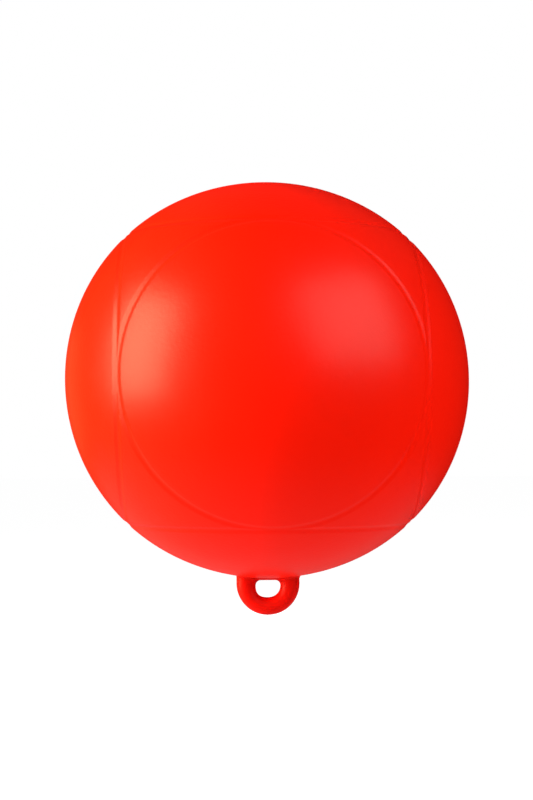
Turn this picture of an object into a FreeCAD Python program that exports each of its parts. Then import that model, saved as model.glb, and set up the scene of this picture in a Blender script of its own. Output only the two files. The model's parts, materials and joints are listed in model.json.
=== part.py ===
import FreeCAD, Part
import os
import re
import Sketcher

# A slalom buoy: a hollow vinyl ball with six grooved circles, a rope eye at its bottom pole
# and a valve on its underside. The origin is the ball's centre, which lies at the waterline.
# +Z is up, the hole of the rope eye runs along Y, and the valve is on the +Y side.
# Lengths are in millimetres and angles in degrees.

SIZES = {
    # ball
    "ball_width": 228.6,
    "ball_height": 224.0,
    "wall_thickness": 2.5,
    # grooved circles: the angle is from a circle's axis to its groove, seen from the ball's centre
    "groove_angle": 44.8,
    "groove_width": 5.0,
    "groove_depth": 0.5,
    # rope eye: its drop is from the ball's pole down to its lowest point
    "eye_width": 35.8,
    "eye_thickness": 11.0,
    "eye_drop": 21.0,
    "eye_rounding": 4.6,
    "root_depth": 8.0,
    "web_drop": 1.5,
    "hole_width": 14.0,
    "hole_height": 9.9,
    "hole_rounding": 4.0,
    # valve: the tilt is the angle of its axis from straight down
    "valve_tilt": 28.0,
    "flange_radius": 12.0,
    "flange_thickness": 1.6,
    "cup_radius": 7.4,
    "cup_depth": 5.2,
    "bush_wall": 2.0,
    "bush_floor": 7.0,
    "boss_wall": 4.0,
    "boss_depth": 8.0,
    "screw_radius": 4.0,
    "screw_length": 9.0,
    "screw_clearance": 0.05,
    "head_radius": 6.4,
    "head_height": 3.4,
    "slot_width": 1.6,
    "slot_depth": 1.7,
    "washer_radius": 6.8,
    "washer_thickness": 1.0,
    "washer_clearance": 0.1,
}

GROOVE_AXES = {
    "front": FreeCAD.Vector(0, -1, 0),
    "back": FreeCAD.Vector(0, 1, 0),
    "left": FreeCAD.Vector(-1, 0, 0),
    "right": FreeCAD.Vector(1, 0, 0),
    "top": FreeCAD.Vector(0, 0, 1),
    "bottom": FreeCAD.Vector(0, 0, -1),
}

# Formulas that several pieces share.
BALL_RADIUS = "(ball_width / 2)"
POLE = "(ball_height / 2)"
GROOVE_ROUND = "(groove_width ^ 2 / (8 * groove_depth) + groove_depth / 2)"
GROOVE_REACH = f"({BALL_RADIUS} - groove_depth + {GROOVE_ROUND})"
# rope eye: heights along Z, and roundings limited by the bar they are on
EYE_ARC = "(eye_width / 2)"
EYE_CENTRE = f"(-1 * {POLE} - eye_drop + {EYE_ARC})"
WEB = f"(-1 * {POLE} - web_drop)"
ROOT_TOP = f"(-1 * {POLE} + root_depth)"
HOLE_ARC = "(hole_width / 2)"
HOLE_CORNER = f"(hole_height - {HOLE_ARC})"
HOLE_CENTRE = f"({WEB} - {HOLE_CORNER})"
BAR = f"min({EYE_ARC} - {HOLE_ARC}; eye_drop - web_drop - hole_height; eye_thickness)"
EYE_ROUNDING = f"min(eye_rounding; 0.48 * {BAR})"
HOLE_ROUNDING = f"min(hole_rounding; 0.45 * {BAR})"
# valve: its reach is from the centre to the skin, and depths are measured down from the skin
VALVE_REACH = (
    f"(1 / sqrt((sin(valve_tilt) / {BALL_RADIUS}) ^ 2 + (cos(valve_tilt) / {POLE}) ^ 2))"
)
RIM = f"({BALL_RADIUS} - sqrt({BALL_RADIUS} ^ 2 - flange_radius ^ 2))"
FLANGE_SEAT = f"({RIM} + flange_thickness)"
CUP_FLOOR = f"({RIM} + cup_depth)"
BUSH_END = f"({CUP_FLOOR} + bush_floor)"
BUSH_RADIUS = "(cup_radius + bush_wall)"
HEAD_SEAT = f"({CUP_FLOOR} - washer_thickness)"
HEAD_TOP = f"({HEAD_SEAT} - head_height)"

doc = FreeCAD.newDocument("slalom_buoy")
sheet = doc.addObject("Spreadsheet::Sheet", "sizes")
for row, (alias, size) in enumerate(SIZES.items(), start=1):
    sheet.set(f"A{row}", alias)
    sheet.set(f"B{row}", str(size))
    sheet.setAlias(f"B{row}", alias)
doc.recompute()


def in_sheet(formula):
    """A formula with each size's name read from the sheet."""
    return re.sub(r"[a-z_]+", lambda m: f"sizes.{m[0]}" if m[0] in SIZES else m[0], formula)


def bind(thing, formulas):
    for name, formula in formulas.items():
        thing.setExpression(name, in_sheet(formula))


def number(formula):
    """A formula's present value, for the first drawing of a sketch."""
    return float(sheet.evalExpression(in_sheet(formula)))


# Part primitives and booleans


def solid(kind, name, formulas, rotation=FreeCAD.Rotation()):
    thing = doc.addObject(kind, name)
    thing.Placement.Rotation = rotation
    bind(thing, formulas)
    return thing


def less(name, base, tool):
    thing = doc.addObject("Part::Cut", name)
    thing.Base = base
    thing.Tool = tool
    return thing


def joined(name, shapes):
    thing = doc.addObject("Part::MultiFuse", name)
    thing.Shapes = shapes
    return thing


def on_valve_axis(thing, depth="0"):
    """Stands a thing on the valve's axis at a depth below the skin, with its Z out of the ball."""
    thing.Placement.Rotation = FreeCAD.Rotation(FreeCAD.Vector(1, 0, 0), 180)
    reach = f"({VALVE_REACH} - {depth})"
    bind(
        thing,
        {
            "Placement.Rotation.Angle": "180 + valve_tilt",
            "Placement.Base.y": f"sin(valve_tilt) * {reach}",
            "Placement.Base.z": f"-1 * cos(valve_tilt) * {reach}",
        },
    )
    return thing


def valve_hole(name, radius, end):
    """A round cutter on the valve's axis, from outside the skin down to a depth."""
    hole = solid("Part::Cylinder", name, {"Radius": radius, "Height": f"{end} + flange_radius"})
    return on_valve_axis(hole, end)


# Sketches. A point is a pair of a curve's number and the end of it that is meant.

START, END, CENTRE = range(1, 4)
ORIGIN = (-1, 1)
UPRIGHT_AXIS = -2


def new_body(name):
    body = doc.addObject("PartDesign::Body", name)
    body.Label = name
    return body


def sketch_on(body, role, name):
    sketch = body.newObject("Sketcher::SketchObject", name)
    plane = next(part for part in body.Origin.OriginFeatures if part.Role == role)
    sketch.AttachmentSupport = [(plane, "")]
    sketch.MapMode = "FlatFace"
    return sketch


def constrain(sketch, kind, *points):
    return sketch.addConstraint(Sketcher.Constraint(kind, *points))


def measure(sketch, kind, points, formula):
    """A driving dimension that follows a formula."""
    index = constrain(sketch, kind, *points, number(formula))
    bind(sketch, {f"Constraints[{index}]": formula})


def place(sketch, point, across, up):
    """Holds a point by its distances from the origin, or on the upright axis where across is None."""
    if across is None:
        constrain(sketch, "PointOnObject", *point, UPRIGHT_AXIS)
    else:
        measure(sketch, "DistanceX", (*ORIGIN, *point), across)
    measure(sketch, "DistanceY", (*ORIGIN, *point), up)


def line(sketch, first, last):
    return sketch.addGeometry(Part.LineSegment(FreeCAD.Vector(*first, 0), FreeCAD.Vector(*last, 0)))


def arc(sketch, centre, radius, first_angle, last_angle):
    circle = Part.Circle(FreeCAD.Vector(*centre, 0), FreeCAD.Vector(0, 0, 1), radius)
    first, last = (FreeCAD.Units.Quantity(a, "deg").getValueAs("rad") for a in (first_angle, last_angle))
    return sketch.addGeometry(Part.ArcOfCircle(circle, float(first), float(last)))


def polygon(sketch, corners):
    """A closed outline of straight edges through corners, each a pair of formulas."""
    spots = [(0 if across is None else number(across), number(up)) for across, up in corners]
    count = len(spots)
    for index in range(count):
        line(sketch, spots[index], spots[(index + 1) % count])
    for index in range(count):
        constrain(sketch, "Coincident", index, END, (index + 1) % count, START)
    for index, (across, up) in enumerate(corners):
        place(sketch, (index, START), across, up)


def turned(name, corners):
    """A body of revolution about its own Z, from a profile given as radius and height."""
    body = new_body(name)
    profile = sketch_on(body, "XZ_Plane", f"{name}_profile")
    polygon(profile, corners)
    turn = body.newObject("PartDesign::Revolution", f"{name}_turn")
    turn.Profile = profile
    turn.ReferenceAxis = (profile, ["V_Axis"])
    turn.Angle = 360
    return body


def depth(formula):
    """The height that is a depth below the skin, in a valve piece's own frame."""
    return f"-1 * {formula}"


# Ball


def flattened(name, shape):
    """The ball is a little lower than it is wide, and its grooves are flattened with it."""
    thing = doc.addObject("Part::Scale", name)
    thing.Base = shape
    thing.Uniform = False
    bind(thing, {"ZScale": "ball_height / ball_width"})
    return thing


def make_ring(side, axis):
    away = f"cos(groove_angle) * {GROOVE_REACH}"
    return solid(
        "Part::Torus",
        f"ring_{side}",
        {
            "Radius1": f"sin(groove_angle) * {GROOVE_REACH}",
            "Radius2": GROOVE_ROUND,
            "Placement.Base.x": f"{axis.x} * {away}",
            "Placement.Base.y": f"{axis.y} * {away}",
            "Placement.Base.z": f"{axis.z} * {away}",
        },
        FreeCAD.Rotation(FreeCAD.Vector(0, 0, 1), axis),
    )


def make_float_shell(root_cutter):
    ball = flattened("ball", solid("Part::Sphere", "round_ball", {"Radius": BALL_RADIUS}))
    rings = [make_ring(side, axis) for side, axis in GROOVE_AXES.items()]
    grooves = flattened("grooves", joined("rings", rings))
    skin = less("skin", ball, grooves)
    chamber = solid(
        "Part::Ellipsoid",
        "chamber",
        {
            "Radius1": f"{POLE} - wall_thickness",
            "Radius2": f"{BALL_RADIUS} - wall_thickness",
            "Radius3": f"{BALL_RADIUS} - wall_thickness",
        },
    )
    # the wall is thickened inwards round the valve
    boss = solid(
        "Part::Cylinder",
        "valve_boss",
        {"Radius": f"{BUSH_RADIUS} + boss_wall", "Height": "boss_depth"},
    )
    on_valve_axis(boss, "boss_depth")
    air = less("air_space", chamber, boss)
    hollow = less("hollow_ball", skin, air)
    cutters = joined(
        "shell_cutters",
        [
            root_cutter,
            valve_hole("flange_recess", "flange_radius", FLANGE_SEAT),
            valve_hole("bush_hole", BUSH_RADIUS, "2 * boss_depth"),
        ],
    )
    return less("float_shell", hollow, cutters)


# Rope eye


def root_pad(body, name, bottom, top):
    """The eye's root: an upright block with the rounded section of the two legs and what is between."""
    sketch = sketch_on(body, "XY_Plane", f"{name}_section")
    bind(sketch, {"AttachmentOffset.Base.z": bottom})
    wide, deep, round_by = number(EYE_ARC), number("eye_thickness / 2"), number(EYE_ROUNDING)
    flat_x, flat_y = wide - round_by, deep - round_by
    sides = [
        line(sketch, (-flat_x, -deep), (flat_x, -deep)),
        line(sketch, (wide, -flat_y), (wide, flat_y)),
        line(sketch, (flat_x, deep), (-flat_x, deep)),
        line(sketch, (-wide, flat_y), (-wide, -flat_y)),
    ]
    corners = [
        arc(sketch, (flat_x, -flat_y), round_by, 270, 360),
        arc(sketch, (flat_x, flat_y), round_by, 0, 90),
        arc(sketch, (-flat_x, flat_y), round_by, 90, 180),
        arc(sketch, (-flat_x, -flat_y), round_by, 180, 270),
    ]
    for index, corner in enumerate(corners):
        constrain(sketch, "Tangent", sides[index], END, corner, START)
        constrain(sketch, "Tangent", corner, END, sides[(index + 1) % 4], START)
        measure(sketch, "Radius", (corner,), EYE_ROUNDING)
    place(sketch, (sides[0], END), f"{EYE_ARC} - {EYE_ROUNDING}", "-1 * eye_thickness / 2")
    place(sketch, (sides[1], END), EYE_ARC, f"eye_thickness / 2 - {EYE_ROUNDING}")
    place(sketch, (sides[3], END), f"-1 * {EYE_ARC}", f"{EYE_ROUNDING} - eye_thickness / 2")
    pad = body.newObject("PartDesign::Pad", name)
    pad.Profile = sketch
    bind(pad, {"Length": f"{top} - ({bottom})"})
    return pad


def rim_edges(feature, keep):
    """Names of the edges that lie in the eye's two flat sides and that keep picks by their centre."""
    half = number("eye_thickness / 2")
    found = []
    for index, edge in enumerate(feature.Shape.Edges, start=1):
        box = edge.BoundBox
        in_a_side = abs(abs(box.YMin) - half) < 1e-4 and abs(box.YMax - box.YMin) < 1e-4
        if in_a_side and keep(edge):
            found.append(f"Edge{index}")
    return found


def fillet(body, name, base, edges, radius):
    rounding = body.newObject("PartDesign::Fillet", name)
    rounding.Base = (base, edges)
    bind(rounding, {"Radius": radius})
    doc.recompute()
    return rounding


def make_rope_eye():
    body = new_body("rope_eye")

    loop = sketch_on(body, "XZ_Plane", "loop_outline")
    half, centre, top = number(EYE_ARC), number(EYE_CENTRE), number(ROOT_TOP)
    bow = arc(loop, (0, centre), half, 180, 360)
    right = line(loop, (half, centre), (half, top))
    over = line(loop, (half, top), (-half, top))
    left = line(loop, (-half, top), (-half, centre))
    constrain(loop, "Tangent", bow, END, right, START)
    constrain(loop, "Coincident", right, END, over, START)
    constrain(loop, "Coincident", over, END, left, START)
    constrain(loop, "Tangent", left, END, bow, START)
    place(loop, (bow, CENTRE), None, EYE_CENTRE)
    place(loop, (over, START), EYE_ARC, ROOT_TOP)
    place(loop, (over, END), f"-1 * {EYE_ARC}", ROOT_TOP)
    plate = body.newObject("PartDesign::Pad", "loop_plate")
    plate.Profile = loop
    plate.Midplane = True
    bind(plate, {"Length": "eye_thickness"})

    # the hole is half round below, and flat under the ball with round corners
    hole = sketch_on(body, "XZ_Plane", "hole_outline")
    half, centre, web, corner = (number(f) for f in (HOLE_ARC, HOLE_CENTRE, WEB, HOLE_CORNER))
    bottom = arc(hole, (0, centre), half, 180, 360)
    right = arc(hole, (half - corner, centre), corner, 0, 90)
    flat = line(hole, (half - corner, web), (corner - half, web))
    left = arc(hole, (corner - half, centre), corner, 90, 180)
    constrain(hole, "Tangent", bottom, END, right, START)
    constrain(hole, "Tangent", right, END, flat, START)
    constrain(hole, "Tangent", flat, END, left, START)
    constrain(hole, "Tangent", left, END, bottom, START)
    place(hole, (bottom, CENTRE), None, HOLE_CENTRE)
    place(hole, (flat, START), f"{HOLE_ARC} - {HOLE_CORNER}", WEB)
    place(hole, (flat, END), f"{HOLE_CORNER} - {HOLE_ARC}", WEB)
    cut = body.newObject("PartDesign::Pocket", "rope_hole")
    cut.Profile = hole
    cut.Midplane = True
    bind(cut, {"Length": "2 * eye_thickness"})
    doc.recompute()

    reach = number(HOLE_ARC) + 1e-3

    def in_hole(edge):
        return max(abs(edge.BoundBox.XMin), abs(edge.BoundBox.XMax)) < reach

    def outside(edge):
        return not in_hole(edge) and edge.BoundBox.ZMin < top - 1e-3

    outer_round = fillet(body, "outer_rounding", cut, rim_edges(cut, outside), EYE_ROUNDING)
    fillet(body, "hole_rounding", outer_round, rim_edges(outer_round, in_hole), HOLE_ROUNDING)
    root_pad(body, "root", f"-1 * {POLE}", ROOT_TOP)
    return body


# Valve


def make_valve_seat():
    bore = "screw_radius + screw_clearance"
    seat = turned(
        "valve_seat",
        [
            (bore, depth(BUSH_END)),
            (BUSH_RADIUS, depth(BUSH_END)),
            (BUSH_RADIUS, depth(FLANGE_SEAT)),
            ("flange_radius", depth(FLANGE_SEAT)),
            ("flange_radius", depth(RIM)),
            ("cup_radius", depth(RIM)),
            ("cup_radius", depth(CUP_FLOOR)),
            (bore, depth(CUP_FLOOR)),
        ],
    )
    return on_valve_axis(seat)


def make_valve_washer():
    bore = "screw_radius + washer_clearance"
    washer = turned(
        "valve_washer",
        [
            (bore, depth(CUP_FLOOR)),
            ("washer_radius", depth(CUP_FLOOR)),
            ("washer_radius", depth(HEAD_SEAT)),
            (bore, depth(HEAD_SEAT)),
        ],
    )
    return on_valve_axis(washer)


def make_valve_screw():
    tip = depth(f"({HEAD_SEAT} + screw_length)")
    screw = turned(
        "valve_screw",
        [
            (None, tip),
            ("screw_radius", tip),
            ("screw_radius", depth(HEAD_SEAT)),
            ("head_radius", depth(HEAD_SEAT)),
            ("head_radius", depth(HEAD_TOP)),
            (None, depth(HEAD_TOP)),
        ],
    )
    # the slot's section runs from its floor to clear above the head
    slot = sketch_on(screw, "XZ_Plane", "slot_section")
    floor = depth(f"({HEAD_TOP} + slot_depth)")
    polygon(
        slot,
        [
            ("-1 * slot_width / 2", floor),
            ("slot_width / 2", floor),
            ("slot_width / 2", "slot_depth"),
            ("-1 * slot_width / 2", "slot_depth"),
        ],
    )
    cut = screw.newObject("PartDesign::Pocket", "driver_slot")
    cut.Profile = slot
    cut.Midplane = True
    bind(cut, {"Length": "4 * head_radius"})
    return on_valve_axis(screw)


root_cutter = new_body("root_cutter")
root_pad(root_cutter, "root_hole", f"-1 * {POLE} - wall_thickness", ROOT_TOP)
rope_eye = make_rope_eye()
nodes = [
    make_float_shell(root_cutter),
    rope_eye,
    make_valve_seat(),
    make_valve_washer(),
    make_valve_screw(),
]
doc.recompute()

for thing in doc.Objects:
    if {"Invalid", "Error"} & set(thing.State):
        raise RuntimeError(f"{thing.Name} did not build: {thing.State}")
for node in nodes:
    if node.Shape.isNull() or not node.Shape.isValid() or len(node.Shape.Solids) != 1:
        raise RuntimeError(f"{node.Label} is not one sound solid")

os.makedirs("parts", exist_ok=True)
for node in nodes:
    node.Shape.exportStep(f"parts/{node.Label}.step")
    print(f"{node.Label}: {node.Shape.Volume / 1000:.2f} cm3")
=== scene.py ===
import json
import math

import bmesh
import bpy
import numpy as np
from mathutils import Matrix, Vector
from mathutils.geometry import delaunay_2d_cdt


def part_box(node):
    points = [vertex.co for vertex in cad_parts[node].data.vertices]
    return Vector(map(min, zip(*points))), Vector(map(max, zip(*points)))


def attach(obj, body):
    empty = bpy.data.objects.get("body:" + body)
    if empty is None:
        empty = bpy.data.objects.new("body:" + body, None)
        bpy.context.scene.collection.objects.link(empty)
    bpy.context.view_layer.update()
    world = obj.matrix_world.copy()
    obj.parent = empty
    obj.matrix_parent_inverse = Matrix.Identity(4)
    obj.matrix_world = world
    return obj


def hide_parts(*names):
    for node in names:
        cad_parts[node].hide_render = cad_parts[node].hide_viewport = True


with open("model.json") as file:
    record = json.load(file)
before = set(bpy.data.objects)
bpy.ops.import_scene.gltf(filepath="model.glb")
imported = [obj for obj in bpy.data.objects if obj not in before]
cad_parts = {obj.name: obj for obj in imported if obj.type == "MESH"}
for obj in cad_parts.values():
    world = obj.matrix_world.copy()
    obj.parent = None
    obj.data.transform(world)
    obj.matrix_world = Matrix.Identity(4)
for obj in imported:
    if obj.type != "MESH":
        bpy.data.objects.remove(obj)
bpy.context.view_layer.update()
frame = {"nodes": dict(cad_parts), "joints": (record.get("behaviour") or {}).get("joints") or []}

# A slalom buoy: the vinyl ball with its grooved circles, the rope eye below it, and the valve.
# Everything is in metres about the ball's centre, +Z up, the hole of the eye along Y.

mm = 0.001
ballLow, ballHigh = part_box("float_shell")
eyeLow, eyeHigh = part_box("rope_eye")
radius = ballHigh.x
squat = ballHigh.z / ballHigh.x  # the ball is a little lower than it is wide
valveOut = np.array(frame["joints"][0]["axis"], float)
valveOut /= np.linalg.norm(valveOut)
valveAcross = np.array([1.0, 0.0, 0.0])
valveAlong = np.cross(valveOut, valveAcross)
stretched = np.array([1, 1, squat])
asLaidOut = np.array([1, 1, squat**2])  # the grooved circles are round, though the ball is squat
valveReach = radius / np.linalg.norm(valveOut / stretched)


def heightsAndWidths(points):
    # how far points are along the valve's axis, and how far from it
    heights = points @ valveOut
    return heights, np.linalg.norm(points - heights[:, None] * valveOut, axis=1)


def lowHighWidest(node):
    # how low, how high and how wide a valve piece is about the valve's axis
    found = np.array([v.co for v in frame["nodes"][node].data.vertices])
    heights, widths = heightsAndWidths(found)
    return heights.min(), heights.max(), widths.max()


seatLow, seatTop, seatWide = lowHighWidest("valve_seat")
washerLow, washerTop, washerWide = lowHighWidest("valve_washer")
screwLow, screwTop, screwWide = lowHighWidest("valve_screw")
print("frame read: ball", round(2 * radius, 4), "m wide, valve skin at", round(valveReach, 5))


# meshes

sharpFrom = math.radians(35)  # an edge that turns by more than this looks sharp


def meshFrom(name, points, faces):
    # a mesh whose faces all look outward
    mesh = bpy.data.meshes.new(name)
    mesh.from_pydata([tuple(p) for p in points], [], [tuple(f) for f in faces])
    work = bmesh.new()
    work.from_mesh(mesh)
    bmesh.ops.recalc_face_normals(work, faces=work.faces)
    work.to_mesh(mesh)
    work.free()
    return mesh


def placed(name, data):
    # an object in the scene that shows this mesh, lamp or camera
    made = bpy.data.objects.new(name, data)
    bpy.context.scene.collection.objects.link(made)
    return made


def makePiece(name, points, faces, body, nodes, finish, sharp=sharpFrom):
    mesh = meshFrom(name, points, faces)
    mesh.shade_smooth()
    mesh.set_sharp_from_angle(angle=sharp)
    mesh.materials.append(finish)
    piece = placed(name, mesh)
    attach(piece, body)
    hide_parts(*nodes)
    print(name, "made:", len(mesh.vertices), "points,", len(mesh.polygons), "faces")
    return piece


def ringFaces(rows, closed=False):
    # quads between rows of point numbers that go round, each row as long as the next
    pairs = list(zip(rows, rows[1:])) + ([(rows[-1], rows[0])] if closed else [])
    count = len(rows[0])
    return [
        (low[i], low[(i + 1) % count], high[(i + 1) % count], high[i])
        for low, high in pairs
        for i in range(count)
    ]


def unit(vectors):
    return vectors / np.linalg.norm(vectors, axis=-1, keepdims=True)


def onceRound(count):
    # angles of this many even steps round a circle
    return np.arange(count) * 2 * math.pi / count


def onValve(height, width, turns):
    # points at these angles about the valve's axis, one height along it, and how far from it
    return (
        height * valveOut
        + np.multiply.outer(width * np.cos(turns), valveAcross)
        + np.multiply.outer(width * np.sin(turns), valveAlong)
    )


def rounded(corners, steps=4):
    # a closed outline of (width, height, rounding) corners, its roundings as arcs
    outline = []
    for before, here, after in zip(corners[-1:] + corners, corners, corners[1:] + corners[:1]):
        corner = np.array(here[:2])
        toBefore = np.array(before[:2]) - corner
        toAfter = np.array(after[:2]) - corner
        if here[2] == 0:
            outline.append(corner)
            continue
        toBefore /= np.linalg.norm(toBefore)
        toAfter /= np.linalg.norm(toAfter)
        half = math.acos(np.clip(toBefore @ toAfter, -1, 1)) / 2
        middle = corner + (toBefore + toAfter) * here[2] / math.sin(2 * half)
        start = corner + toBefore * here[2] / math.tan(half) - middle
        end = corner + toAfter * here[2] / math.tan(half) - middle
        for step in range(steps + 1):
            arm = start * (steps - step) + end * step
            outline.append(middle + arm * here[2] / np.linalg.norm(arm))
    return np.array(outline)


def turned(outline, segments):
    # a closed outline turned once about the valve's axis
    turns = onceRound(segments)
    points = np.concatenate([onValve(height, width, turns) for width, height in outline])
    rows = np.arange(len(points)).reshape(len(outline), segments).tolist()
    return points, ringFaces(rows, closed=True)


# the ball's skin

ball = {
    "grooveTurn": math.radians(44.8),  # from a circle's axis to its groove
    "grooveDepth": 0.42 * mm,
    "grooveHalfWidth": 3.1 * mm,
    "swell": 1.20 * mm,  # how far the skin between the axes stands out of a round ball
    "lean": 0.40 * mm,  # how much more it does so towards the lower right and the upper left
    "roundAboutValve": (18 * mm, 75 * mm),
    "grooveMerge": 6,  # how sharply two grooves that meet are told apart
    "partingHeight": 0.10 * mm,
    "partingHalfWidth": 0.55 * mm,
    "partingRows": np.array([-1, -0.6, 0, 0.6, 1]),  # in half widths, as is the next
    "partingClear": 1.7,  # how near other rows come to the parting line
    "grooveRows": np.array([0.4, 0.8, 1.2, 1.6, 2.0, 2.4, 2.8, 3.2, 3.9, 5.2, 7.0]) * mm,
    "grooveStations": 320,
    "panelSpacing": 2.6 * mm,
    "cornerSpacing": 2.2 * mm,
    "grooveClear": 0.2 * mm,  # how near the grooves' rows come to the planes half way to the next axes
    "spacingClear": 0.45,  # the same for the other rows, as a share of their spacing
    "wall": 2.5 * mm,
    "innerRings": 39,
    "sharpFrom": math.radians(50),
    "tellApart": 1e-9,  # points that are nearer than this on the unrolled skin would become one
}
valveHole = {
    "lip": 0.45 * mm,
    "lipRows": np.array([0, 0.03, 0.12, 0.26, 0.45, 0.9, 1.6, 2.6]) * mm,
    "clearOfRows": 3.4 * mm,
    "stations": 96,
    "bossWall": 4.0 * mm,
    "bossDepth": 8.0 * mm,
    "flangeThickness": 1.6 * mm,
    "bushWidth": 9.4 * mm,
}


def grooveDip(away):
    # how deep one groove is at a distance to the side of its middle
    within = np.minimum(abs(away) / ball["grooveHalfWidth"], 1)
    return ball["grooveDepth"] * np.cos(within * math.pi / 2) ** 2


def skinPoint(directions):
    # where the skin is in each of these directions from the ball's centre
    laidOut = unit(directions * asLaidOut)
    dips = np.zeros(len(directions))
    for axis in (0, 1, 2):
        for side in (-1, 1):
            turn = np.arccos(np.clip(side * laidOut[:, axis], -1, 1))
            dips += grooveDip((turn - ball["grooveTurn"]) * radius) ** ball["grooveMerge"]
    dips = dips ** (1 / ball["grooveMerge"])
    fromParting = np.abs(directions[:, 1]) * radius / ball["partingHalfWidth"]
    parting = ball["partingHeight"] * (np.maximum(1 - fromParting**2, 0) ** 2 - 1)
    # the ball isn't blown up quite round, except about its valve
    swell = ball["swell"] * (1 - (directions**4).sum(axis=1))
    swell -= ball["lean"] * 2 * directions[:, 0] * directions[:, 2]
    fromValve = radius * np.linalg.norm(directions - unit(valveOut / stretched), axis=1)
    near, far = ball["roundAboutValve"]
    fade = np.clip((fromValve - near) / (far - near), 0, 1)
    swell *= fade**2 * (3 - 2 * fade)
    rise = parting + swell - dips
    return directions * (radius + rise)[:, None] * stretched


def skinDirections():
    # the directions that the skin's points are at: rows round each circle's axis, as far as the
    # planes half way to the next axes, rows along those planes, and rows along the parting line
    grooveTurn = ball["grooveTurn"]
    near = ball["grooveRows"] / radius
    bandTurns = grooveTurn + np.concatenate([-near, [0], near])
    innerTurns = np.arange(0, grooveTurn - near[-1], ball["panelSpacing"] / radius)
    cornerTurn = math.acos(1 / math.sqrt(3))
    outerTurns = np.arange(grooveTurn + near[-1], cornerTurn, ball["cornerSpacing"] / radius)[1:]
    partingSides = ball["partingRows"] * ball["partingHalfWidth"] / radius
    partingClear = ball["partingClear"] * ball["partingHalfWidth"] / radius
    found = []
    for axis in range(3):
        one, two = (axis + 1) % 3, (axis + 2) % 3
        for side in (-1, 1):
            for turn in np.concatenate([innerTurns, bandTurns, outerTurns]):
                if turn in bandTurns:
                    stations = ball["grooveStations"]
                    edgeGap = ball["grooveClear"] / radius
                else:
                    spacing = ball["panelSpacing"] if turn < grooveTurn else ball["cornerSpacing"]
                    stations = max(1, 4 * round(math.pi / 2 * math.sin(turn) * radius / spacing))
                    edgeGap = ball["spacingClear"] * spacing / radius
                angles = onceRound(stations)
                row = np.zeros((stations, 3))
                row[:, axis] = side * math.cos(turn)
                row[:, one] = math.sin(turn) * np.cos(angles)
                row[:, two] = math.sin(turn) * np.sin(angles)
                others = np.maximum(abs(row[:, one]), abs(row[:, two]))
                row = row[abs(row[:, axis]) - others > edgeGap * math.sqrt(2)]
                found.append(row[abs(row[:, 1]) > partingClear])
            # the planes between this axis and the next, from corner to corner
            for otherSide in (-1, 1):
                stations = ball["grooveStations"]
                leans = np.tan(np.arange(1 - stations // 8, stations // 8) * 2 * math.pi / stations)
                edge = np.zeros((len(leans), 3))
                edge[:, axis] = side
                edge[:, one] = otherSide
                edge[:, two] = leans
                edge = unit(edge)
                found.append(edge[abs(edge[:, 1]) > partingClear])
    corners = [(x, y, z) for x in (-1, 1) for y in (-1, 1) for z in (-1, 1)]
    found.append(unit(np.array(corners, float)))
    # the parting line lies in the plane y = 0, through the axes x and z
    quarter = np.concatenate([innerTurns, bandTurns[bandTurns < math.pi / 4]])
    eighths = np.concatenate([quarter, math.pi / 2 - quarter[1:], [math.pi / 4]])
    for quadrant in range(4):
        angles = quadrant * math.pi / 2 + eighths
        for aside in partingSides:
            row = np.stack([np.cos(angles), np.full(len(angles), aside), np.sin(angles)], axis=1)
            found.append(unit(row))
    return unit(np.concatenate(found) / asLaidOut)


def rimDirections(width):
    # directions to the points of the smooth ball at this distance from the valve's axis
    aside = onValve(0, width, onceRound(valveHole["stations"]))
    outward = valveOut / stretched
    across = aside / stretched
    a = outward @ outward
    b = across @ outward
    c = (across * across).sum(axis=1) - radius**2
    heights = (np.sqrt(b**2 - a * c) - b) / a
    return unit((aside + np.multiply.outer(heights, valveOut)) / stretched)


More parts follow.
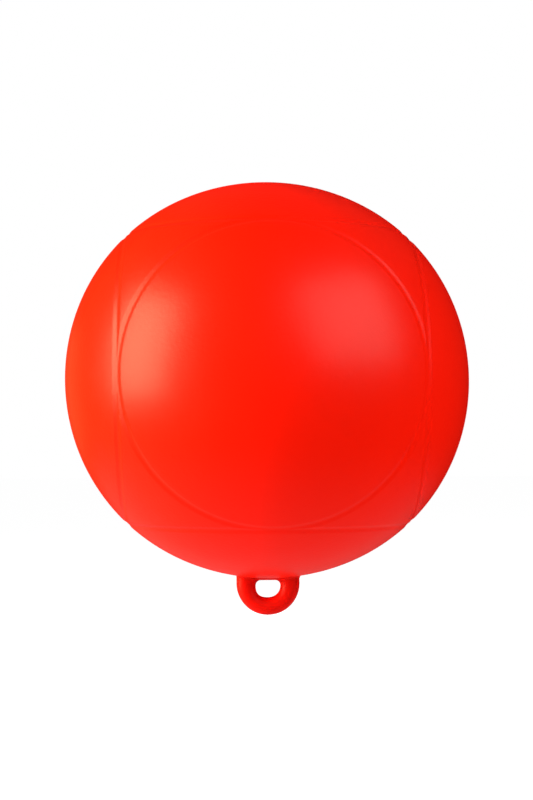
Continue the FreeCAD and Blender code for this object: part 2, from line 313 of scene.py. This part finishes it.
def makeBall(finish):
    rims = np.concatenate([rimDirections(seatWide + out) for out in valveHole["lipRows"]])
    others = skinDirections()
    heights, widths = heightsAndWidths(others * radius * stretched)
    others = others[(heights < 0) | (widths > seatWide + valveHole["clearOfRows"])]
    directions = np.concatenate([rims, others])
    # seen from the middle of the valve's hole the whole skin unrolls on a plane, and triangles
    # that are the best there are the best on the ball
    pole = unit(valveOut / stretched)
    sideways = np.cross(pole, valveAcross)
    spread = 1 - directions @ pole
    plane = np.stack([directions @ valveAcross / spread, directions @ sideways / spread], axis=1)
    found = delaunay_2d_cdt([Vector(p) for p in plane], [], [], 0, ball["tellApart"], False)
    if len(found[0]) != len(directions):
        raise RuntimeError("some points of the ball's skin lie on each other")
    faces = [tuple(face) for face in found[2]]
    points = skinPoint(directions)
    # the lip rolls into the hole
    heights, widths = heightsAndWidths(points)
    over = np.clip(valveHole["lip"] - (widths - seatWide), 0, valveHole["lip"])
    sunk = valveHole["lip"] - np.sqrt(valveHole["lip"] ** 2 - over**2)
    points -= np.where(heights > 0, sunk, 0)[:, None] * valveOut
    # the hole's wall, the valve's boss and the inner side of the wall
    stations = valveHole["stations"]
    turns = onceRound(stations)
    bossWide = valveHole["bushWidth"] + valveHole["bossWall"]
    flangeSeat = seatTop - valveHole["flangeThickness"]
    bossEnd = valveReach - ball["wall"] - valveHole["bossDepth"]
    lining = [
        (seatWide, flangeSeat),
        (valveHole["bushWidth"], flangeSeat),
        (valveHole["bushWidth"], bossEnd),
        (bossWide, bossEnd),
    ]
    inside = radius - ball["wall"]
    startTurn = math.asin(bossWide / inside)
    for turn in np.linspace(startTurn, math.pi, ball["innerRings"] + 1)[:-1]:
        lining.append((inside * math.sin(turn), inside * math.cos(turn) * squat))
    rows = [list(range(stations))]
    for width, height in lining:
        rows.append(list(range(len(points), len(points) + stations)))
        points = np.concatenate([points, onValve(height, width, turns)])
    faces += ringFaces(rows)
    points = np.concatenate([points, [-inside * squat * valveOut]])
    faces += [(rows[-1][i], rows[-1][(i + 1) % stations], len(points) - 1) for i in range(stations)]
    sharp = ball["sharpFrom"]
    return makePiece("ball_shell", points, faces, "buoy", ["float_shell"], finish, sharp)


# the rope eye

eye = {
    "holeWidth": 14.0 * mm,
    "holeCorner": 2.9 * mm,
    "holeDrop": 6.8 * mm,
    "holeSquareness": (2.6, 2.1),  # of its lower left and right, where 2 is round
    "holeBelowPole": 1.5 * mm,
    "flareLeft": 0.8 * mm,
    "flareRight": 2.2 * mm,
    "sectionPower": 2.4,  # 2 is an ellipse, and more is squarer
    "farthest": 40 * mm,  # beyond its edges
    "halvings": 40,
    "stations": 160,
    "sectionPoints": 44,
}


def eyeOutlines(turns):
    # how far the hole's edge and the outer edge are from the hole's middle, for each angle
    holeArc = eye["holeWidth"] / 2
    holeTop = ballLow.z - eye["holeBelowPole"]
    holeCentre = holeTop - eye["holeCorner"]
    outerArc = eyeHigh.x
    outerCentre = eyeLow.z + outerArc
    middle = holeTop - (holeArc + eye["holeCorner"]) / 2

    def inHole(x, z):
        power = np.where(x < 0, *eye["holeSquareness"])
        below = (abs(x) / holeArc) ** power + (abs(z - holeCentre) / eye["holeDrop"]) ** power - 1
        above = np.hypot(np.maximum(abs(x) - holeArc + eye["holeCorner"], 0), z - holeCentre)
        return np.where(z < holeCentre, below, above - eye["holeCorner"])

    def inEye(x, z):
        below = np.hypot(x, z - outerCentre) - outerArc
        above = np.maximum(abs(x) - outerArc, z - eyeHigh.z)
        return np.where(z < outerCentre, below, above)

    reaches = []
    for field in (inHole, inEye):
        low, high = np.zeros(len(turns)), np.full(len(turns), eye["farthest"])
        for halving in range(eye["halvings"]):
            tried = (low + high) / 2
            inside = field(tried * np.cos(turns), middle + tried * np.sin(turns)) < 0
            low, high = np.where(inside, tried, low), np.where(inside, high, tried)
        reaches.append(low)
    return middle, *reaches


def makeEye(finish):
    turns = onceRound(eye["stations"])
    middle, holeReach, outerReach = eyeOutlines(turns)
    halfThick = eyeHigh.y
    section = onceRound(eye["sectionPoints"])
    bulge = 2 / eye["sectionPower"]
    out = np.sign(np.cos(section)) * abs(np.cos(section)) ** bulge
    thick = np.sign(np.sin(section)) * abs(np.sin(section)) ** bulge * halfThick
    reach = (outerReach + holeReach)[:, None] / 2 + np.multiply.outer((outerReach - holeReach) / 2, out)
    x = reach * np.cos(turns)[:, None]
    z = middle + reach * np.sin(turns)[:, None]
    y = np.broadcast_to(thick, x.shape).copy()
    # the foot flares where it meets the ball, more on the right than on the left
    skin = ballLow.z * np.sqrt(1 - (x**2 + y**2) / radius**2)
    flare = eye["flareLeft"] + (eye["flareRight"] - eye["flareLeft"]) * (x / eyeHigh.x + 1) / 2
    into = np.clip(flare - (skin - z), 0, flare)
    grown = flare - np.sqrt(flare**2 - into**2)
    outwardX = out * np.cos(turns)[:, None]
    outwardY = np.sign(thick) * abs(np.sin(section))
    x = x + grown * np.where(out > 0, outwardX, 0)
    y = y + grown * outwardY
    points = np.stack([x, y, z], axis=2).reshape(-1, 3)
    rows = np.arange(len(points)).reshape(len(turns), len(section)).tolist()
    faces = ringFaces(rows, closed=True)
    return makePiece("rope_eye_loop", points, faces, "buoy", ["rope_eye"], finish)


# the valve

valve = {
    "cupWidth": 7.4 * mm,
    "boreWidth": 4.05 * mm,
    "flangeRounding": 0.5 * mm,
    "cupLip": 0.5 * mm,
    "cupFloorRounding": 0.25 * mm,
    "boreRounding": 0.3 * mm,
    "bushRounding": 0.3 * mm,
    "segments": 96,
    "washerGap": 0.05 * mm,  # from the bore's edge to the washer's
    "washerRounding": 0.3 * mm,
    "washerSmallRounding": 0.2 * mm,
    "shankGap": 0.05 * mm,  # from the bore to the thread's crest
    "headHeight": 3.4 * mm,
    "headRounding": 0.7 * mm,
    "headUnderRounding": 0.3 * mm,
    "headMiddle": 0.2 * mm,  # the last ring of its flat top
    "slotWidth": 1.6 * mm,
    "slotDepth": 1.7 * mm,
    "slotLength": 1.2,  # in widths of the head, so that it cuts right across
    "edgeBevel": 0.12 * mm,
    "edgeBevelFrom": math.radians(60),
    "threadPitch": 1.75 * mm,
    "threadDepth": 0.65 * mm,
    "threadSteepness": 5,  # of its sides: more is steeper
    "threadCrest": 1.1,  # how broad its crest is: more is broader
    "threadStep": 0.12 * mm,
    "threadSegments": 64,
    "tipTaper": 0.9 * mm,
    "tipSlope": 0.8,
}


def makeSeat(finish):
    cupFloor = washerLow
    flangeSeat = seatTop - valveHole["flangeThickness"]
    bush = valveHole["bushWidth"]
    corners = [
        (seatWide, seatTop, valve["flangeRounding"]),
        (valve["cupWidth"], seatTop, valve["cupLip"]),
        (valve["cupWidth"], cupFloor, valve["cupFloorRounding"]),
        (valve["boreWidth"], cupFloor, valve["boreRounding"]),
        (valve["boreWidth"], seatLow, 0),
        (bush, seatLow, valve["bushRounding"]),
        (bush, flangeSeat, 0),
        (seatWide, flangeSeat, 0),
    ]
    points, faces = turned(rounded(corners), valve["segments"])
    return makePiece("valve_seat_ring", points, faces, "buoy", ["valve_seat"], finish)


def makeWasher(finish):
    bore = valve["boreWidth"] + valve["washerGap"]
    corners = [
        (washerWide, washerTop, valve["washerRounding"]),
        (bore, washerTop, valve["washerSmallRounding"]),
        (bore, washerLow, 0),
        (washerWide, washerLow, valve["washerSmallRounding"]),
    ]
    points, faces = turned(rounded(corners), valve["segments"])
    return makePiece("valve_seal", points, faces, "buoy", ["valve_washer"], finish)


def makeScrew(finish):
    # the head, with its slot cut across it, and below it the threaded shank
    headSeat = screwTop - valve["headHeight"]
    shank = valve["boreWidth"] - valve["shankGap"]
    segments = valve["threadSegments"]
    turns = onceRound(segments)
    heights = np.arange(screwLow, headSeat, valve["threadStep"])
    points = []
    for height in heights:
        phase = (height / valve["threadPitch"] - turns / (2 * math.pi)) % 1
        groove = np.clip(np.abs(phase - 0.5) * valve["threadSteepness"] - valve["threadCrest"], 0, 1)
        taper = max(0, valve["tipTaper"] - (height - screwLow)) * valve["tipSlope"]
        runOut = min(1, (headSeat - height) / valve["threadPitch"])
        width = shank - groove * valve["threadDepth"] * runOut
        width = np.minimum(width, shank - taper)
        points.append(onValve(height, width, turns))
    outline = rounded([
        (screwWide, headSeat, valve["headUnderRounding"]),
        (screwWide, screwTop, valve["headRounding"]),
        (valve["headMiddle"], screwTop, 0),
    ])
    for width, height in [(shank, headSeat), *outline]:
        points.append(onValve(height, width, turns))
    count = len(points)
    points = np.concatenate(points)
    rows = np.arange(len(points)).reshape(count, segments).tolist()
    faces = ringFaces(rows) + [tuple(rows[0]), tuple(rows[-1])]
    piece = makePiece("valve_screw_plug", points, faces, "screw", ["valve_screw"], finish)
    cutSlot(piece)
    return piece


def cutSlot(piece):
    # a straight bar across the head, taken out of it
    low, high = screwTop - valve["slotDepth"], screwTop + valve["slotDepth"]
    across, along = valve["slotWidth"] / 2, valve["slotLength"] * screwWide
    corners = [(h, a, b) for h in (low, high) for a in (-across, across) for b in (-along, along)]
    points = [h * valveOut + a * valveAcross + b * valveAlong for h, a, b in corners]
    faces = [(0, 1, 3, 2), (4, 6, 7, 5), (0, 4, 5, 1), (2, 3, 7, 6), (0, 2, 6, 4), (1, 5, 7, 3)]
    bar = placed("slot_bar", meshFrom("slot_bar", points, faces))
    cut = piece.modifiers.new("slot", "BOOLEAN")
    cut.operation = "DIFFERENCE"
    cut.solver = "EXACT"
    cut.object = bar
    edge = piece.modifiers.new("edges", "BEVEL")
    edge.width = valve["edgeBevel"]
    edge.segments = 2
    edge.limit_method = "ANGLE"
    edge.angle_limit = valve["edgeBevelFrom"]
    bpy.context.view_layer.update()
    evaluated = piece.evaluated_get(bpy.context.evaluated_depsgraph_get())
    settled = bpy.data.meshes.new_from_object(evaluated)
    piece.modifiers.clear()
    piece.data = settled
    piece.data.set_sharp_from_angle(angle=sharpFrom)
    bpy.data.objects.remove(bar)


# finishes

class Wire:
    # one socket of a node tree; arithmetic on it adds Math nodes
    def __init__(self, finish, socket):
        self.finish = finish
        self.socket = socket

    def maths(self, operation, first, second):
        return self.finish.node("ShaderNodeMath", {"operation": operation}, {0: first, 1: second})

    def __add__(self, other):
        return self.maths("ADD", self, other)

    def __sub__(self, other):
        return self.maths("SUBTRACT", self, other)

    def __mul__(self, other):
        return self.maths("MULTIPLY", self, other)

    def __pow__(self, other):
        return self.maths("POWER", self, other)

    def __rsub__(self, other):
        return self.maths("SUBTRACT", other, self)

    def __rpow__(self, other):
        return self.maths("POWER", other, self)

    __radd__ = __add__
    __rmul__ = __mul__


class Finish:
    # a node tree with one method that makes its nodes
    def __init__(self, owner):
        self.owner = owner
        owner.use_nodes = True
        self.tree = owner.node_tree
        self.tree.nodes.clear()

    def node(self, kind, settings=None, inputs=None, output=0):
        made = self.tree.nodes.new(kind)
        for name, value in (settings or {}).items():
            setattr(made, name, value)
        for name, value in (inputs or {}).items():
            socket = made.inputs[name]
            if isinstance(value, Wire):
                self.tree.links.new(value.socket, socket)
            else:
                socket.default_value = value
        return Wire(self, made.outputs[output]) if made.outputs else made

    def between(self, factor, first, second):
        # a colour from first to second as factor goes from 0 to 1; 6 and 7 are the colour sockets
        settings = {"data_type": "RGBA"}
        return self.node("ShaderNodeMix", settings, {0: factor, 6: first, 7: second}, output=2)

    def noise(self, place, scale, detail):
        return self.node("ShaderNodeTexNoise", None, {"Vector": place, "Scale": scale, "Detail": detail})

    def bump(self, height):
        # height is in metres
        return self.node("ShaderNodeBump", None, {"Strength": 1.0, "Distance": 1.0, "Height": height})

    def seen(self):
        # 1 for what the camera sees, straight or through something clear, and 0 for other light
        rays = self.node("ShaderNodeLightPath", output="Is Camera Ray")
        return rays + Wire(self, rays.socket.node.outputs["Is Transmission Ray"])

    def close(self, shader, target="ShaderNodeOutputMaterial"):
        self.node(target, inputs={"Surface": shader})
        return self.owner


vinyl = {
    "red": (0.96, 0.0074, 0.0007, 1),
    "worn": (0.95, 0.0090, 0.0011, 1),
    "roughness": 0.344,
    "roughnessSpread": 0.06,
    "specular": 0.5,
    "clouds": (28, 4),  # a noise's scale, per metre, and its detail
    "grain": (2600, 1),
    "grainDepth": 0.012 * mm,
    "mottle": (560, 3),
    "mottleDepth": 0.08 * mm,
    "wave": (60, 1),
    "waveDepth": 0.10 * mm,
}
# the rope eye's vinyl: its darker reds are painted shade, where the ball shades the eye
eyeVinylWithPaintedShade = {
    **vinyl,
    "red": (0.71, 0.0036, 0.0010, 1),  # darker than the ball's red: painted shade for the ball's shadow on the eye
    "worn": (0.75, 0.0048, 0.0012, 1),
    "roughness": 0.46,
    "specular": 0.4,
}


def vinylFinish(name, values):
    finish = Finish(bpy.data.materials.new(name))
    place = finish.node("ShaderNodeTexCoord", output="Object")
    clouds = finish.noise(place, *values["clouds"])
    grain = finish.noise(place, *values["grain"])
    mottle = finish.noise(place, *values["mottle"])
    wave = finish.noise(place, *values["wave"])
    height = grain * values["grainDepth"] + mottle * values["mottleDepth"] + wave * values["waveDepth"]
    shader = finish.node("ShaderNodeBsdfPrincipled", None, {
        "Base Color": finish.between(clouds ** 2, values["red"], values["worn"]),
        "Roughness": values["roughness"] + (clouds - 0.5) * values["roughnessSpread"],
        "Normal": finish.bump(height),
        "Specular IOR Level": values["specular"],
    })
    return finish.close(shader)


nylon = {
    "dark": (0.018, 0.018, 0.019, 1),
    "light": (0.035, 0.034, 0.034, 1),
    "roughness": 0.42,
    "roughnessSpread": 0.15,
    "clouds": (160, 4),
    "grain": (3500, 2),
    "grainDepth": 0.01 * mm,
}


def nylonFinish():
    finish = Finish(bpy.data.materials.new("black_nylon"))
    place = finish.node("ShaderNodeTexCoord", output="Object")
    clouds = finish.noise(place, *nylon["clouds"])
    grain = finish.noise(place, *nylon["grain"])
    shader = finish.node("ShaderNodeBsdfPrincipled", None, {
        "Base Color": finish.between(clouds, nylon["dark"], nylon["light"]),
        "Roughness": nylon["roughness"] + (clouds - 0.5) * nylon["roughnessSpread"],
        "Normal": finish.bump(grain * nylon["grainDepth"]),
    })
    return finish.close(shader)


rubber = {
    "dark": (0.010, 0.010, 0.010, 1),
    "bloom": (0.030, 0.029, 0.028, 1),
    "roughness": 0.72,
    "roughnessSpread": 0.2,
    "clouds": (300, 3),
}


def rubberFinish():
    finish = Finish(bpy.data.materials.new("black_rubber"))
    place = finish.node("ShaderNodeTexCoord", output="Object")
    clouds = finish.noise(place, *rubber["clouds"])
    shader = finish.node("ShaderNodeBsdfPrincipled", None, {
        "Base Color": finish.between(clouds, rubber["dark"], rubber["bloom"]),
        "Roughness": rubber["roughness"] + (clouds - 0.5) * rubber["roughnessSpread"],
    })
    return finish.close(shader)


# floor, room, lamps and camera

studio = {
    "floorBelow": 0.17,  # from the eye's lowest point down to the floor
    "floorSize": 30.0,
    "floorColour": (0.34, 0.34, 0.40, 1),
    "glowNear": (0.66, 0.66, 0.66, 1),  # near the buoy, where the lamps light the floor too
    "glowFar": (0.99, 0.99, 0.99, 1),  # where the lamps add almost nothing
    "glowCentre": (-0.08, 0.35, 0.0),
    "glowRange": (0.34, 0.86),
    "shareNear": 0.15,  # how much of its brightness the floor gives to anything but the camera
    "shareFar": 0.005,
    "roomShare": 0.0075,
}
lamps = {  # those named fill light the buoy but don't show in its gloss
    "left_softbox": {
        "towards": (-0.926, -0.274, 0.258),
        "distance": 1.3,
        "size": (0.82, 1.05),
        "power": 13.8,
        "colour": (1.0, 1.0, 0.60),
    },
    "key_fill": {
        "towards": (-0.916, -0.307, 0.258),
        "distance": 1.3,
        "size": (0.82, 1.05),
        "power": 19.7,
        "colour": (1.0, 1.0, 1.0),
    },
    "left_fill": {
        "towards": (-0.975, 0.17, -0.06),
        "distance": 1.6,
        "size": (1.2, 1.2),
        "power": 150.0,
        "colour": (1.0, 1.0, 0.7),
    },
    "left_rim": {
        "towards": (-0.62, 0.78, -0.16),
        "distance": 1.6,
        "size": (0.8, 1.2),
        "power": 0.55,
        "colour": (1.0, 1.0, 0.35),
    },
    "right_softbox": {
        "towards": (0.644, -0.590, 0.486),
        "distance": 1.3,
        "size": (1.11, 0.98),
        "power": 5.1,
        "colour": (1.0, 1.0, 0.91),
    },
    "top_fill": {
        "towards": (-0.45, -0.35, 0.82),
        "distance": 1.6,
        "size": (1.0, 1.0),
        "power": 5.0,
        "colour": (1.0, 1.0, 1.0),
    },
    "top_rim": {
        "towards": (0.20, 0.50, 0.84),
        "distance": 1.6,
        "size": (2.0, 1.4),
        "power": 0.22,
        "colour": (1.0, 1.0, 0.8),
    },
    "top_right_fill": {
        "towards": (0.50, -0.10, 0.86),
        "distance": 1.6,
        "size": (1.0, 1.0),
        "power": 2.2,
        "colour": (1.0, 1.0, 1.0),
    },
    "low_fill": {
        "towards": (0.0, 0.0, -1.0),
        "distance": 0.29,
        "size": (1.4, 1.4),
        "power": 6.8,
        "colour": (1.0, 1.0, 1.0),
    },
    "right_fill": {
        "towards": (0.64, -0.60, 0.56),
        "distance": 1.3,
        "size": (1.2, 1.0),
        "power": 9.9,
        "colour": (1.0, 1.0, 1.0),
    },
    "back_fill": {
        "towards": (-0.10, 0.97, 0.22),
        "distance": 1.6,
        "size": (1.8, 1.2),
        "power": 18.0,
        "colour": (1.0, 1.0, 1.0),
    },
}
lens = {  # its angles are in degrees
    "azimuth": -2.4,
    "elevation": -2.56,
    "roll": -0.3,
    "distance": 0.900,  # from the ball's centre
    "aimBelow": 11.1 * mm,
    "aimLeft": 0.3 * mm,
    "millimetres": 71.05,
    "sensorWidth": 36,
}


def makeFloor():
    finish = Finish(bpy.data.materials.new("pale_floor"))
    seen = finish.seen()
    matt = finish.node("ShaderNodeBsdfDiffuse", None, {"Color": studio["floorColour"]})
    place = finish.node("ShaderNodeNewGeometry", output="Position")
    centre = {0: place, 1: studio["glowCentre"]}
    away = finish.node("ShaderNodeVectorMath", {"operation": "DISTANCE"}, centre, output="Value")
    near, far = studio["glowRange"]
    smooth = {"interpolation_type": "SMOOTHSTEP"}
    fade = finish.node("ShaderNodeMapRange", smooth, {0: away, 1: near, 2: far})
    glowColour = finish.between(fade, studio["glowNear"], studio["glowFar"])
    glow = finish.node("ShaderNodeEmission", None, {"Color": glowColour})
    bright = finish.node("ShaderNodeAddShader", None, {0: matt, 1: glow})
    # the satin vinyl would lose its red in the gloss of a floor and a room that are all white
    share = studio["shareNear"] + fade * (studio["shareFar"] - studio["shareNear"])
    share = seen + (1 - seen) * share
    lit = finish.node("ShaderNodeMixShader", None, {0: share, 2: bright})
    # the floor isn't there from below, so that the underside can be looked at
    clear = finish.node("ShaderNodeBsdfTransparent")
    under = finish.node("ShaderNodeNewGeometry", output="Backfacing")
    surface = finish.node("ShaderNodeMixShader", None, {0: under, 1: lit, 2: clear})
    half = studio["floorSize"] / 2
    height = eyeLow.z - studio["floorBelow"]
    mesh = bpy.data.meshes.new("floor")
    corners = [(-half, -half), (half, -half), (half, half), (-half, half)]
    mesh.from_pydata([(x, y, height) for x, y in corners], [], [(0, 1, 2, 3)])
    paleFloor = finish.close(surface)
    paleFloor.cycles.emission_sampling = "NONE"
    mesh.materials.append(paleFloor)
    floor = placed("floor", mesh)


def makeRoom():
    world = bpy.data.worlds.new("room")
    bpy.context.scene.world = world
    finish = Finish(world)
    seen = finish.seen()
    strength = seen + (1 - seen) * studio["roomShare"]
    glow = finish.node("ShaderNodeBackground", None, {"Color": (1, 1, 1, 1), "Strength": strength})
    finish.close(glow, "ShaderNodeOutputWorld")
    world.cycles.sampling_method = "NONE"  # so that each ray gets its own share, unmixed


def makeLamps():
    for name, values in lamps.items():
        light = bpy.data.lights.new(name, "AREA")
        light.shape = "RECTANGLE"
        light.size, light.size_y = values["size"]
        light.energy = values["power"]
        light.color = values["colour"]
        lamp = placed(name, light)
        lamp.location = Vector(values["towards"]).normalized() * values["distance"]
        lamp.rotation_euler = lamp.location.to_track_quat("Z", "Y").to_euler()
        lamp.visible_camera = False
        if name.endswith("fill"):
            light.cycles.use_multiple_importance_sampling = False
            lamp.visible_glossy = False


def makeCamera():
    camera = placed("camera", bpy.data.cameras.new("camera"))
    camera.data.sensor_width = lens["sensorWidth"]
    camera.data.lens = lens["millimetres"]
    azimuth, elevation = math.radians(lens["azimuth"]), math.radians(lens["elevation"])
    back = Vector((
        math.sin(azimuth) * math.cos(elevation),
        -math.cos(azimuth) * math.cos(elevation),
        math.sin(elevation),
    ))
    camera.location = back * lens["distance"]
    aim = Vector((-lens["aimLeft"], 0, -lens["aimBelow"]))
    turn = (aim - camera.location).to_track_quat("-Z", "Y").to_matrix()
    roll = Matrix.Rotation(math.radians(lens["roll"]), 3, "Z")
    camera.rotation_euler = (turn @ roll).to_euler()
    bpy.context.scene.camera = camera


makeCamera()
blackNylon = nylonFinish()
makeBall(vinylFinish("red_vinyl", vinyl))
makeEye(vinylFinish("eye_red_vinyl_painted_shade", eyeVinylWithPaintedShade))
makeSeat(blackNylon)
makeWasher(rubberFinish())
makeScrew(blackNylon)
makeFloor()
makeRoom()
makeLamps()
bpy.context.scene.view_settings.view_transform = "Standard"
print("studio set")
